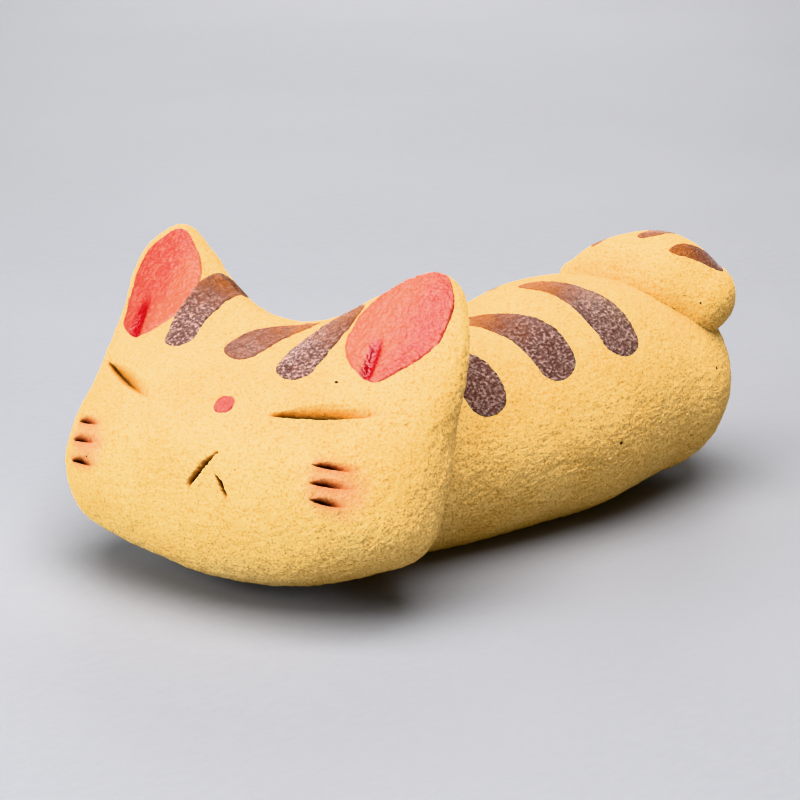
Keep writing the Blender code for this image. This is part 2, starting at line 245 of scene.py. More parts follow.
CAMERA_AZIMUTH = -39.0
CAMERA_ELEVATION = 18.0
CAMERA_LENS = 120.0
CAMERA_SENSOR = 36.0
CAMERA_NEAREST = 0.01  # in metres
CAMERA_DISTANCE = 266.7
CAMERA_AIM = (-6.4, -2.87, -0.15)  # from the middle of the whole cat's box

# Lights: degrees round from the camera (positive is to its right), elevation, distance,
# size, power in watts and colour.
LIGHTS = {
    "overhead": (-5, 78, 560, 560, 12.2, (1.0, 1.0, 1.02)),
    "left_card": (-62, 14, 420, 340, 3.8, (0.93, 1.0, 1.08)),
    "right_card": (80, 10, 420, 260, 0.1, (1.0, 0.9, 0.75)),
    "front_card": (20, 18, 420, 220, 0.45, (1.0, 0.95, 0.86)),
    "back_card": (180, 20, 420, 260, 0.9, (1.0, 1.0, 1.0)),
}
WORLD_COLOUR = (1.0, 1.0, 1.0)
WORLD_STRENGTH = 0.10
VIEW_GAMMA = 0.85  # below 1 it deepens the middle tones

CLAY_PALE = linear(228, 193, 124)
CLAY_WARM = linear(219, 180, 108)
CLAY_SAND_PALE = linear(244, 210, 148)
CLAY_SAND_DARK = linear(178, 130, 62)
SPECK_BROWN = linear(150, 104, 52)
SPECK_BLACK = linear(58, 40, 28)
# painted shade for the knife slits: the ochre of a slope that faces down, the same slope in a cheek mark's
# red stain, and the near black of the depths
SLIT_SLOPE_SHADE = linear(176, 122, 52)
SLIT_STAINED_SLOPE_SHADE = linear(138, 70, 40)
SLIT_DEPTH_SHADE = linear(34, 14, 8)
BLUSH = linear(212, 140, 108)
STAIN = linear(184, 92, 58)
STRIPE_THIN = linear(158, 98, 46)
STRIPE_MIDDLE = linear(126, 73, 46)
STRIPE_THICK = linear(100, 63, 53)
STRIPE_RIM = linear(60, 36, 30)
# pale pink of the painted glints on the stripes' crinkles
STRIPE_PAINTED_GLINT = linear(214, 182, 170)
CORAL = linear(146, 58, 46)
CORAL_PALE = linear(154, 86, 60)
CORAL_DUST = linear(176, 108, 82)
CORAL_DEEP = linear(128, 22, 24)
CORAL_NOSE = linear(142, 58, 50)
BLUSH_STRENGTH = 0.50
STAIN_STRENGTH = 0.60
SAND_SIZE = 0.24
CRINKLE_SIZE = 0.26  # of the stripes' surface

FLOOR_COLOUR = (0.183, 0.183, 0.188)
FLOOR_PALER = 1.04  # how much brighter its pale patches and fibres are
FLOOR_SIZE = 3.0  # half its width, in metres

NOISE_TABLE = 256
NOISE_GAIN = 1.7  # brings the noise near to the range from -1 to 1
rng = np.random.RandomState(11)
SLOPES = rng.normal(size=(NOISE_TABLE, 3))
SLOPES /= np.linalg.norm(SLOPES, axis=1, keepdims=True)
ORDER = rng.permutation(NOISE_TABLE)


def smoothstep(low, high, value):
    """0 below low and 1 above high, with a smooth rise between. Low may be the higher one."""
    t = np.clip((value - low) / (high - low), 0.0, 1.0)
    return t * t * (3 - 2 * t)


def unit(vectors):
    vectors = np.asarray(vectors, float)
    return vectors / np.maximum(np.linalg.norm(vectors, axis=-1, keepdims=True), 1e-12)


def noise(points, size, seed=0):
    """Smooth random values, mostly from -1 to 1, with features about size across."""
    at = points / size + seed * 31.7
    cell = np.floor(at).astype(int)
    inside = at - cell
    fade = inside**3 * (inside * (inside * 6 - 15) + 10)
    total = np.zeros(len(points))
    for corner in np.ndindex(2, 2, 2):
        x, y, z = ((cell + corner) % NOISE_TABLE).T
        slope = SLOPES[ORDER[(ORDER[(ORDER[x] + y) % NOISE_TABLE] + z) % NOISE_TABLE]]
        weight = np.prod(np.where(corner, fade, 1 - fade), axis=1)
        total += ((inside - corner) * slope).sum(1) * weight
    return total * NOISE_GAIN


def creases(points, along, length, gap, seed):
    """0 to 1 on thin wandering lines that run mostly one way, in patches."""
    along = unit(along)
    squeezed = points / gap + np.outer((points @ along) * (1 / length - 1 / gap), along)
    lines = np.clip(1 - WRINKLE_SHARPNESS * np.abs(noise(squeezed, 1, seed)), 0, 1)
    size, none, full = WRINKLE_PATCHES
    return lines**1.5 * smoothstep(none, full, noise(points, size, seed + 1))


def spline(points, i, f):
    p0, p1, p2, p3 = (points[(i + k) % len(points)] for k in range(4))
    bend = (2 * p0 - 5 * p1 + 4 * p2 - p3) * f**2 + (3 * p1 - p0 - 3 * p2 + p3) * f**3
    return p1 + ((p2 - p0) * f + bend) / 2


def smooth_curve(points, t):
    """The points at t, from 0 to 1, on a smooth curve through all the points."""
    points = np.asarray(points, float)
    last = len(points) - 1
    at = np.clip(t, 0, 1) * last
    i = np.minimum(at.astype(int), last - 1)
    padded = np.vstack([2 * points[0] - points[1], points, 2 * points[-1] - points[-2]])
    return spline(padded, i, (at - i)[:, None])


def roll_frame(stations, t):
    """The middle, the radius, and the along, side and up directions of a roll at t."""
    at = smooth_curve(stations, t)
    ahead = smooth_curve(stations, np.minimum(t + ROLL_STEP, 1))
    behind = smooth_curve(stations, np.maximum(t - ROLL_STEP, 0))
    along = unit((ahead - behind)[:, :3])
    side = unit(np.cross(along, (0, 0, 1)))
    return at[:, :3], at[:, 3:], along, side, np.cross(side, along)


def roll_points(directions, stations, ends):
    """Where points of a unit sphere go on a roll with rounded ends."""
    latitude = np.degrees(np.arcsin(np.clip(directions[:, 2], -1, 1)))
    cap = np.abs(latitude) > 45
    angle = np.radians(2 * (90 - np.abs(latitude)))
    t = np.where(cap, latitude > 0, (latitude + 45) / 90)
    reach = np.where(latitude > 0, ends[1], -ends[0])
    slide = np.where(cap, np.cos(angle) * reach, 0)[:, None]
    shrink = np.where(cap, np.sin(angle), 1)[:, None]
    middle, radius, along, side, up = roll_frame(stations, t)
    ring = np.maximum(np.hypot(directions[:, 0], directions[:, 1]), 1e-9)[:, None]
    across = (side * directions[:, :1] + up * directions[:, 1:2]) / ring
    return middle + along * slide + across * radius * shrink


def head_shape(directions):
    """Where points of a unit sphere go on the head, in the head's own axes."""
    outline = np.array(HEAD_OUTLINE, float)
    at = (np.arctan2(-directions[:, 0], -directions[:, 1]) / math.tau % 1.0) * len(outline)
    i = at.astype(int)
    rim = spline(outline, i - 1, (at - i)[:, None])
    across = np.hypot(directions[:, 0], directions[:, 1])
    x, z = (rim * across[:, None] ** RIM_FULLNESS).T
    thin = smoothstep(*EAR_HEIGHTS, z)
    front = -(FACE_DEPTH + (EAR_FRONT_DEPTH - FACE_DEPTH) * thin)
    back = NAPE_DEPTH + (EAR_BACK_DEPTH - NAPE_DEPTH) * thin
    y = np.where(directions[:, 2] > 0, front, back) * np.abs(directions[:, 2]) ** DEPTH_FULLNESS
    return np.stack([x, y + EAR_LEAN * np.maximum(0.0, z - EAR_LEAN_START), z], axis=1)


HEAD_TURNED = np.array(Euler((math.radians(-HEAD_TILT), 0, math.radians(HEAD_TURN - 90))).to_matrix())


def from_head(points):
    return points @ HEAD_TURNED.T + HEAD_CENTRE


def to_head(points):
    return (points - HEAD_CENTRE) @ HEAD_TURNED


def cat_shift():
    """What moves the cat's own axes to the frame: the CAD body's box says where it is."""
    low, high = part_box("body")
    own_x = (BODY_ROLL[0][0] - BODY_ENDS[0] + BODY_ROLL[-1][0] + BODY_ENDS[1]) / 2
    return np.array([(low.x + high.x) / 2 / MM - own_x, (low.y + high.y) / 2 / MM, 0.0])


SHIFT = cat_shift()


def to_frame(points):
    return (points + SHIFT) * MM


def cube_sphere(cuts):
    """A cube that is cut into a grid and blown up to a unit sphere."""
    steps = np.tan(np.linspace(-1, 1, cuts + 1) * math.pi / 4)
    a, b = np.meshgrid(steps, steps, indexing="ij")
    one = np.ones_like(a)
    sides = [(one, a, b), (-one, b, a), (b, one, a), (a, -one, b), (a, b, one), (b, a, -one)]
    points = np.concatenate([np.stack(side, -1).reshape(-1, 3) for side in sides])
    _, first, same = np.unique(np.round(points, 6), axis=0, return_index=True, return_inverse=True)
    points = unit(points[first])
    number = same.reshape(6, cuts + 1, cuts + 1)
    shape = bmesh.new()
    corners = [shape.verts.new(p) for p in points]
    for side in number:
        for row, after in zip(side, side[1:]):
            for k in range(cuts):
                shape.faces.new([corners[n] for n in (row[k], after[k], after[k + 1], row[k + 1])])
    return shape


def off_line(at, start, end, before=0.0):
    """The share of the way from start to end at each point, and how far it is off the line,
    which carries on before its start by a share of its length."""
    start, end = np.array(start), np.array(end)
    line = end - start
    at = at - start
    s = at @ line / (line @ line)
    return s, np.linalg.norm(at - np.clip(s, -before, 1)[:, None] * line, axis=1)


def slit_distance(x, z):
    """How far each point of the face is from the nearest slit."""
    nearest = np.full(len(x), 99.0)
    for start, end, *_ in SLITS.values():
        nearest = np.minimum(nearest, off_line(np.stack([x, z], 1), start, end)[1])
    return nearest


def refine_slits(shape):
    """Cut the sphere's faces finer where the head will have its slits."""
    for reach in SLIT_REACH:
        faces = [f for f in shape.faces if f.calc_center_median().z > SPHERE_FRONT]
        middles = head_shape(unit([f.calc_center_median() for f in faces]))
        near = slit_distance(middles[:, 0], middles[:, 2]) < reach
        edges = {e for face, wanted in zip(faces, near) if wanted for e in face.edges}
        bmesh.ops.subdivide_edges(shape, edges=list(edges), cuts=1, use_grid_fill=True)
        for vertex in shape.verts:
            vertex.co.normalize()


def coordinates(mesh):
    found = np.empty(len(mesh.vertices) * 3)
    mesh.vertices.foreach_get("co", found)
    return found.reshape(-1, 3)


def set_points(mesh, points):
    mesh.vertices.foreach_set("co", to_frame(points).ravel())
    mesh.update()


def normals_of(mesh):
    found = np.empty(len(mesh.vertices) * 3)
    mesh.vertex_normals.foreach_get("vector", found)
    return found.reshape(-1, 3)


def set_attribute(mesh, name, values):
    attribute = mesh.attributes.new(name, "FLOAT", "POINT")
    attribute.data.foreach_set("value", np.asarray(values, np.float32))


def put_in_place(mesh, points):
    """Move the mesh to the points with its faces outwards, and give its normals."""
    set_points(mesh, points)
    if normals_of(mesh)[0] @ (points[0] - points.mean(0)) < 0:
        mesh.flip_normals()
        mesh.update()
    return normals_of(mesh)


def object_from(mesh, name, look):
    mesh.materials.append(look)
    mesh.shade_smooth()
    made = bpy.data.objects.new(name, mesh)
    bpy.context.scene.collection.objects.link(made)
    return made


def mesh_from(shape, name):
    bmesh.ops.recalc_face_normals(shape, faces=shape.faces)
    mesh = bpy.data.meshes.new(name)
    shape.to_mesh(mesh)
    shape.free()
    return mesh


def surface_of(made):
    return BVHTree.FromObject(made, bpy.context.evaluated_depsgraph_get())


def stands_for(piece, node):
    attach(piece, "root")
    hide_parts(node)


def dimples(points, count, radius, depth, seed):
    """Small round pits at random points of the surface, as a depth at every point."""
    chooser = np.random.RandomState(seed)
    total = np.zeros(len(points))
    for n in chooser.choice(len(points), count, replace=False):
        size = chooser.uniform(*radius)
        distance = np.linalg.norm(points - points[n], axis=1)
        pit = chooser.uniform(*depth) * (1 - smoothstep(0.2 * size, size, distance))
        total = np.maximum(total, pit)
    return total


def hand_relief(points, seed):
    """The unevenness that hands and sandy clay leave everywhere."""
    relief = np.zeros(len(points))
    for n, (size, height) in enumerate(HAND_RELIEF):
        relief += height * noise(points, size, seed + n)
    return relief - dimples(points, *PITS, seed + len(HAND_RELIEF))


def slit_cut(x, z, slit, wobble):
    """How deep a slit is at each point, how far it lifts its lip, how strong its painted shade is, and a
    smear.
    """
    start, end, width, depth, sag, hollow, full, dark = slit
    start, end = np.array(start), np.array(end)
    line = end - start
    length = np.linalg.norm(line)
    line /= length
    up = np.array([-line[1], line[0]])
    up *= np.sign(up[1])
    at = np.stack([x, z], 1) - start
    s = at @ line / length
    u = at @ up + sag * 4 * np.clip(s, 0, 1) * (1 - np.clip(s, 0, 1)) + SLIT_WOBBLE[1] * wobble
    strength = smoothstep(*SLIT_START, s) * (1 - smoothstep(full, 1.0, s))
    opening = width * (SLIT_NARROW + (1 - SLIT_NARROW) * smoothstep(0, SLIT_WIDENS, s))
    slope = np.clip(1 - u / opening, 0, 1) ** hollow
    wall = np.clip(1 + u / SLIT_WALL, 0, 1)
    share = np.where(u > 0, slope, wall) * strength
    lip = np.exp(-(((u + SLIT_WALL + LIP_OFFSET) / LIP_WIDTH) ** 2)) * strength * (u < 0)
    smear = np.exp(-(((u - SMEAR_OFFSET) / SMEAR_WIDTH) ** 2))
    smear *= smoothstep(*SMEAR_START, s) * (1 - smoothstep(*SMEAR_END, s))
    return depth * share, LIP_HEIGHT * lip, dark * share, smear


def face_relief(points, local):
    """Slits and folds in the ears, with the painted shade inside the slits and the blush and stain of the
    cheeks.
    """
    x, z = local[:, 0], local[:, 2]
    front = (local[:, 1] < MARKED_BEFORE) | (z > MARKED_ABOVE)
    depth, dark, stain = np.zeros((3, len(x)))
    wobble = noise(points, SLIT_WOBBLE[0], seed=91)
    for name, slit in SLITS.items():
        rough = SLIT_ROUGH[0] if name.startswith("mouth") else SLIT_ROUGH[1]
        cut, lip, shade, smear = slit_cut(x, z, slit, wobble * rough)
        depth += (cut - lip) * front
        dark = np.maximum(dark, shade * front)
        if "cheek" in name:
            stain = np.maximum(stain, smear * front)
    for start, end, width, pinch in PINCHES:
        s, off = off_line(local[:, [0, 2]], start, end)
        fade = 1 - smoothstep(*PINCH_FADE, s)
        depth += pinch * np.exp(-((off / width) ** 2)) * fade * front
    blush = np.zeros(len(x))
    for (bx, bz), radius in BLUSHES:
        off = np.hypot((x - bx) / radius, (z - bz) / (radius * BLUSH_FLATNESS))
        off += BLUSH_RAGS[1] * noise(points, BLUSH_RAGS[0], seed=77)
        blush = np.maximum(blush, (1 - smoothstep(*BLUSH_FADE, off)) * front)
    return depth, {"dark": dark, "blush": blush, "stain": stain}


def press_out(points, body_tree, direction_of):
    """Move the points that are inside the body on to its surface, so that a seat forms."""
    directions = direction_of(points)
    for n, (start, direction) in enumerate(zip(to_frame(points), directions)):
        direction = Vector(direction)
        hit, normal, _, _ = body_tree.ray_cast(Vector(start), direction)
        if hit and normal.dot(direction) > 0:
            points[n] = np.array(hit + normal * CONTACT * MM) / MM - SHIFT
    return points


def make_body(look):
    mesh = mesh_from(cube_sphere(BODY_CUTS), "body_fired")
    points = roll_points(coordinates(mesh), BODY_ROLL, BODY_ENDS)
    normals = put_in_place(mesh, points)
    flank = smoothstep(*FLANK_HEIGHTS, points[:, 2])
    base, added = FLANK_WRINKLES
    relief = hand_relief(points, 1)
    wrinkles = creases(points, along=(1, 0.1, 0.05), length=2.2, gap=0.50, seed=20)
    scratches = creases(points, along=(1, -0.3, 0.2), length=1.4, gap=0.35, seed=24)
    relief -= (base + added * flank) * wrinkles
    relief -= FLANK_SCRATCHES * flank * scratches
    points = points + normals * (relief - SKIN)[:, None]
    points[:, 2] = np.maximum(points[:, 2], 0.0)
    set_points(mesh, points)
    return object_from(mesh, "body_fired", look)


def make_tail(look, body_tree):
    mesh = mesh_from(cube_sphere(TAIL_CUTS), "tail_fired")
    points = roll_points(coordinates(mesh), TAIL_ROLL, TAIL_ENDS)
    normals = put_in_place(mesh, points)
    tip = smoothstep(*TAIL_TIP, points[:, 0])
    relief = TAIL_RELIEF * hand_relief(points, 40)
    wrinkles = creases(points, along=(0.5, -1, 0), length=1.2, gap=0.8, seed=44)
    relief -= tip * (TAIL_TIP_WRINKLES * wrinkles + dimples(points, *TAIL_TIP_PITS, seed=46))
    points = points + normals * (relief - SKIN)[:, None]

    def outwards(at):
        return unit(at * (0, 1, 1) - (0, 0, BODY_ROLL[2][2]))

    points = press_out(points, body_tree, outwards)
    set_points(mesh, points)
    return object_from(mesh, "tail_fired", look)


def make_head(look, body_tree):
    sphere = cube_sphere(HEAD_CUTS)
    refine_slits(sphere)
    mesh = mesh_from(sphere, "head_fired")
    local = head_shape(unit(coordinates(mesh)))
    points = from_head(local)
    normals = put_in_place(mesh, points)
    depth, marks = face_relief(points, local)
    cheek = smoothstep(*CHEEK_ACROSS, local[:, 0]) * smoothstep(*CHEEK_DOWN, local[:, 2])
    wiped = HEAD_TURNED @ (0.6, 0, 0.8)
    relief = hand_relief(points, 60)
    base, added = CHEEK_WRINKLES
    relief -= (base + added * cheek) * creases(points, along=wiped, length=2.2, gap=0.50, seed=64)
    points = points + normals * (relief - SKIN)[:, None]
    points = points + np.outer(depth, HEAD_TURNED @ (0, 1, 0))

    def forwards(at):
        return np.tile((-1.0, 0.0, 0.0), (len(at), 1))

    nape = local[:, 1] > 0
    points[nape] = press_out(points[nape], body_tree, forwards)
    set_points(mesh, points)
    for name, values in marks.items():
        set_attribute(mesh, name, values)
    return object_from(mesh, "head_fired", look)


def smooth_tree(shape_of):
    """A tree of the clay's smooth shape, for placing brush strokes."""
    mesh = mesh_from(cube_sphere(SMOOTH_CUTS), "smooth")
    points = shape_of(unit(coordinates(mesh)))
    faces = [list(p.vertices) for p in mesh.polygons]
    bpy.data.meshes.remove(mesh)
    return BVHTree.FromPolygons(to_frame(points).tolist(), faces)


def on_face(tree, x, z):
    """The place and normal at x and z on the face. Above the crest it carries on backwards."""
    backwards = Vector(HEAD_TURNED @ (0, 1, 0))
    hit, crest = None, z + CREST_STEP
    while hit is None:
        crest -= CREST_STEP
        start = to_frame(from_head(np.array([[x, -OUTSIDE, crest]])))[0]
        hit, normal = tree.ray_cast(Vector(start), backwards)[:2]
    if crest < z:
        hit, normal = tree.find_nearest(hit + backwards * (z - crest) * MM)[:2]
    return hit, normal


def on_roll(tree, stations, t, degrees):
    middle, _, _, side, up = (v[0] for v in roll_frame(stations, np.array([t])))
    outward = side * math.sin(math.radians(degrees)) + up * math.cos(math.radians(degrees))
    return tree.ray_cast(Vector(to_frame(middle + outward * OUTSIDE)), Vector(-outward))[:2]


def on_body(tree, along, degrees):
    fraction = (along - BODY_ROLL[0][0]) / (BODY_ROLL[-1][0] - BODY_ROLL[0][0])
    return on_roll(tree, BODY_ROLL, fraction, degrees)


def on_tail(tree, fraction, degrees):
    return on_roll(tree, TAIL_ROLL, fraction, degrees)


def rounded_end(shares, bend):
    """The share of its width that a stroke has at shares of its length, with rounded ends."""
    rounding = np.minimum(np.minimum(shares, 1 - shares) / bend, 1)
    return np.sqrt(np.maximum(1 - (1 - rounding) ** 2, BLUNT))


def stroke_grid(stations, smooth, clay, place, seed):
    """Points and normals of a brush stroke on the clay, row by row, with each row's share of
    the length, the half widths, the length, and the share that each rounded end takes."""
    length = 0.0
    samples = smooth_curve(stations, np.linspace(0, 1, STROKE_SAMPLES))
    line = [place(smooth, x, y) for x, y, _ in samples]
    for (here, _), (there, _) in zip(line, line[1:]):
        length += (there - here).length / MM
    widest = max(width for *_, width in stations)
    bend = min(0.5, ROUNDING * widest / length)
    rows = max(int(length / STROKE_STEP), STROKE_FEWEST[0])
    columns = max(int(2 * widest / STROKE_STEP), STROKE_FEWEST[1])
    bunched = (1 - np.cos(np.linspace(0, math.pi, rows + 1))) / 2
    shares = bunched * BUNCHING + np.linspace(0, 1, rows + 1) * (1 - BUNCHING)
    at = smooth_curve(stations, shares)
    middles = [place(smooth, x, y) for x, y, _ in at]
    points = np.empty((rows + 1, columns + 1, 3))
    normals = np.empty_like(points)
    edge = np.random.RandomState(seed).uniform(0, EDGE_PLACES, 3)
    rounded = rounded_end(shares, bend)
    for i, (middle, normal) in enumerate(middles):
        ahead = middles[min(i + 1, rows)][0] - middles[max(i - 1, 0)][0]
        side = normal.cross(ahead).normalized()
        far = shares[i] * length
        s = np.array([[far, 0, 0], [far, EDGES_APART, 0]]) + edge
        rags = sum(height * noise(s, size) for size, height in EDGE_RAGS) / max(at[i, 2], EDGE_NARROWEST)
        ragged = 1 + EDGE_WANDER[1] * noise(s, EDGE_WANDER[0]) + rags
        for k in range(columns + 1):
            across = 2 * k / columns - 1
            reach = at[i, 2] * rounded[i] * across * ragged[int(across > 0)]
            near, outward = smooth.find_nearest(middle + side * reach * MM)[:2]
            hit = clay.ray_cast(near + outward * DROP * MM, -outward)[0]
            points[i, k] = np.array(hit) / MM - SHIFT
            normals[i, k] = outward
    return points, normals, shares, at[:, 2], length, bend


def fold_share(local):
    """1 at the bottom of the folds in the ears, where enamel pools, fading to 0 beside them."""
    pool = np.zeros(len(local))
    for start, end, width, _ in PINCHES:
        s, off = off_line(local[:, [0, 2]], start, end, POOL_BEFORE)
        near = 1 - smoothstep(width * POOL_WIDTHS[0], width * POOL_WIDTHS[1], off)
        pool = np.maximum(pool, near * (1 - smoothstep(*POOL_FADE, s)))
    return pool


def coat(name, points, from_edge, shares, seed):
    """How high the enamel stands at each point of its grid, and its load."""

    def uneven(size, number):
        return noise(points.reshape(-1, 3), size, number).reshape(from_edge.shape)

    low, high = STROKE_LOAD.get(name, (1.0, 1.0))
    load = low + (high - low) * smoothstep(*LOAD_CHANGE, shares)[:, None]
    load = np.clip(load + LOAD_NOISE[1] * uneven(LOAD_NOISE[0], seed), 0, LOAD_MOST)
    crinkle = sum(share * uneven(size, seed + 1 + n) for n, (size, share) in enumerate(CRINKLES))
    thickness = ENAMEL_THIN + (ENAMEL_THICK - ENAMEL_THIN) * load
    rise = smoothstep(0, EDGE_SLOPE, from_edge)
    height = rise * (thickness + (ENAMEL_GRAIN[0] + ENAMEL_GRAIN[1] * load) * crinkle)
    return np.maximum(height, 0.0) - EDGE_SINK * (rise < 0.01), load


def closed_skin(name, top, under):
    """A mesh of a grid of points and the points under its inner ones, joined along its rim."""
    rows, columns = top.shape[:2]
    number = np.arange(rows * columns).reshape(rows, columns)
    below = number.copy()
    below[INNER] = number.size + np.arange((rows - 2) * (columns - 2)).reshape(rows - 2, columns - 2)
    vertices = np.concatenate([top.reshape(-1, 3), under[INNER].reshape(-1, 3)])
    faces = []
    for i in range(rows - 1):
        for k in range(columns - 1):
            ring = [(i, k), (i + 1, k), (i + 1, k + 1), (i, k + 1)]
            faces.append([number[c] for c in ring])
            faces.append([below[c] for c in reversed(ring)])
    mesh = bpy.data.meshes.new(name)
    mesh.from_pydata(to_frame(vertices).tolist(), [], faces)
    mesh.update()
    middle = number[(rows - 1) // 2, (columns - 1) // 2]
    if normals_of(mesh)[middle] @ (top - under).reshape(-1, 3)[middle] < 0:
        mesh.flip_normals()
    return mesh, vertices


def enamel(name, stations, smooth, clay, place, look, seed):
    """A closed skin of enamel that swells from its ragged edge, with its load at each point."""
    points, normals, shares, widths, length, bend = stroke_grid(stations, smooth, clay, place, seed)
    across = np.abs(np.linspace(-1, 1, points.shape[1]))[None, :]
    from_side = (widths * rounded_end(shares, bend))[:, None] * (1 - across)
    from_tip = np.minimum(shares, 1 - shares)[:, None] * length
    from_edge = np.minimum(from_side, from_tip)
    height, load = coat(name, points, from_edge, shares, seed)
    top = points + normals * height[..., None]
    mesh, vertices = closed_skin(name + "_fired", top, points - normals * ENAMEL_ROOT)
    local = to_head(vertices)
    set_attribute(mesh, "load", np.concatenate([load.ravel(), load[INNER].ravel()]))
    set_attribute(mesh, "edge", np.concatenate([from_edge.ravel(), from_edge[INNER].ravel()]))
    set_attribute(mesh, "pool", fold_share(local))
    set_attribute(mesh, "outer", smoothstep(*OUTER_EAR, np.abs(local[:, 0])))
    return object_from(mesh, name + "_fired", look)


class Paint:
    """A node material. Each method adds a node and gives back its output."""

    def __init__(self, name):
        self.material = bpy.data.materials.new(name)
        self.material.use_nodes = True
        self.tree = self.material.node_tree
        self.shader = self.tree.nodes["Principled BSDF"]
        place = self.add("ShaderNodeTexCoord").outputs["Object"]
        scaled = self.add("ShaderNodeVectorMath", {0: place, "Scale": 1 / MM}, operation="SCALE")
        self.place = scaled.outputs[0]

    def add(self, kind, inputs=None, **settings):
        node = self.tree.nodes.new(kind)
        for key, value in settings.items():
            setattr(node, key, value)
        for key, value in (inputs or {}).items():
            self.put(node.inputs[key], value)
        return node

    def put(self, socket, value):
        if isinstance(value, bpy.types.NodeSocket):
            self.tree.links.new(value, socket)
        else:
            socket.default_value = value

    def set(self, **values):
        for key, value in values.items():
            self.put(self.shader.inputs[key.replace("_", " ")], value)

    def attribute(self, name):
        return self.add("ShaderNodeAttribute", attribute_name=name).outputs["Fac"]

    def noise(self, size, detail=2.0, roughness=0.5, stretch=None):
        place = self.place
        if stretch:
            stretched = self.add("ShaderNodeVectorMath", {0: place, 1: stretch}, operation="MULTIPLY")
            place = stretched.outputs[0]
        inputs = {"Vector": place, "Scale": 1 / size, "Detail": detail, "Roughness": roughness}
        return self.add("ShaderNodeTexNoise", inputs).outputs[0]

    def range(self, value, low, high, to_low=0.0, to_high=1.0):
        inputs = {0: value, 1: low, 2: high, 3: to_low, 4: to_high}
        return self.add("ShaderNodeMapRange", inputs, interpolation_type="SMOOTHSTEP").outputs[0]

    def math(self, operation, a, b=0.0, c=0.0):
        return self.add("ShaderNodeMath", {0: a, 1: b, 2: c}, operation=operation).outputs[0]

    def mix(self, factor, first, second):
        node = self.add("ShaderNodeMix", data_type="RGBA")
        self.put(node.inputs[0], factor)
        self.put(node.inputs[6], first)
        self.put(node.inputs[7], second)
        return node.outputs[2]

    def dots(self, gap, radius, share):
        """1 on small round dots about gap apart, on that share of the places."""
        node = self.add("ShaderNodeTexVoronoi", {"Vector": self.place, "Scale": 1 / gap})
        chance = self.add("ShaderNodeSeparateColor", {0: node.outputs["Color"]})
        chosen = self.math("LESS_THAN", chance.outputs[0], share)
        size = self.math("MULTIPLY_ADD", chance.outputs[1], radius / gap, 0.35 * radius / gap)
        inside = self.math("DIVIDE", node.outputs["Distance"], size)
        return self.math("MULTIPLY", chosen, self.range(inside, 1.0, 0.55))

    def bump(self, height, distance, normal=None):
        inputs = {"Height": height, "Distance": distance * MM, "Strength": 1.0}
        if normal:
            inputs["Normal"] = normal
        return self.add("ShaderNodeBump", inputs).outputs[0]


def clay_look():
    paint = Paint("sandy_yellow_clay")
    tone = paint.noise(7.0, detail=3.0)
    colour = paint.mix(paint.range(tone, 0.3, 0.7), CLAY_WARM, CLAY_PALE)
    grain = paint.noise(SAND_SIZE, detail=3.0, roughness=0.65)
    colour = paint.mix(paint.range(grain, 0.50, 0.64, to_high=0.7), colour, CLAY_SAND_PALE)
    colour = paint.mix(paint.range(grain, 0.49, 0.36, to_high=0.75), colour, CLAY_SAND_DARK)
    colour = paint.mix(paint.math("MULTIPLY", paint.attribute("blush"), BLUSH_STRENGTH), colour, BLUSH)
    colour = paint.mix(paint.math("MULTIPLY", paint.attribute("stain"), STAIN_STRENGTH), colour, STAIN)
    colour = paint.mix(paint.dots(gap=0.9, radius=0.11, share=0.20), colour, SPECK_BROWN)
    colour = paint.mix(paint.dots(gap=3.1, radius=0.20, share=0.35), colour, SPECK_BLACK)
    # Painted shade in the slits, following their depth: the slope goes ochre, or red where a cheek mark's
    # stain is, and the depth goes near black.
    dark = paint.attribute("dark")
    edge = paint.mix(paint.attribute("stain"), SLIT_SLOPE_SHADE, SLIT_STAINED_SLOPE_SHADE)
    colour = paint.mix(paint.range(dark, 0.0, 0.35), colour, edge)
    colour = paint.mix(paint.range(dark, 0.28, 0.60), colour, SLIT_DEPTH_SHADE)
    fine = paint.noise(0.17, detail=3.0, roughness=0.65)
    coarse = paint.noise(0.55, detail=3.0, roughness=0.6, stretch=(0.6, 0.6, 1.0))
    normal = paint.bump(fine, 0.16)
    normal = paint.bump(coarse, 0.20, normal)
    paint.set(Base_Color=colour, Roughness=0.88, Normal=normal, Specular_IOR_Level=0.25)
    return paint.material


def stripe_look():
    paint = Paint("iron_brown_enamel")
    load = paint.attribute("load")
    grain = paint.noise(CRINKLE_SIZE, detail=2.0, roughness=0.6)
    uneven = paint.math("MULTIPLY_ADD", paint.math("SUBTRACT", grain, 0.5), 0.9, load)
    colour = paint.mix(paint.range(uneven, 0.0, 0.40), STRIPE_THIN, STRIPE_MIDDLE)
    colour = paint.mix(paint.range(uneven, 0.35, 1.0), colour, STRIPE_THICK)
    near_edge = paint.range(paint.attribute("edge"), 0.28, 0.05)
    rim = paint.math("MULTIPLY", near_edge, paint.range(load, 0.2, 0.8))
    colour = paint.mix(paint.math("MULTIPLY", rim, 0.6), colour, STRIPE_RIM)
    crinkle = paint.noise(CRINKLE_SIZE, detail=4.0, roughness=0.70, stretch=(0.75, 0.75, 1.0))
    # Painted glints: pale flecks on the tops of the crinkles stand for the sheen of the glossy enamel,
    # with more of them where it is thick.
    glint_strength = paint.range(load, 0.2, 1.0, to_low=0.12, to_high=0.68)
    painted_glints = paint.math("MULTIPLY", paint.range(crinkle, 0.45, 0.66), glint_strength)
    colour = paint.mix(painted_glints, colour, STRIPE_PAINTED_GLINT)
    rough = paint.range(load, 0.0, 0.8, to_low=0.55, to_high=0.20)
    shine = paint.range(load, 0.0, 0.8, to_low=0.25, to_high=0.90)
    normal = paint.bump(crinkle, 0.75)
    paint.set(Base_Color=colour, Roughness=rough, Normal=normal, Specular_IOR_Level=shine)
    return paint.material


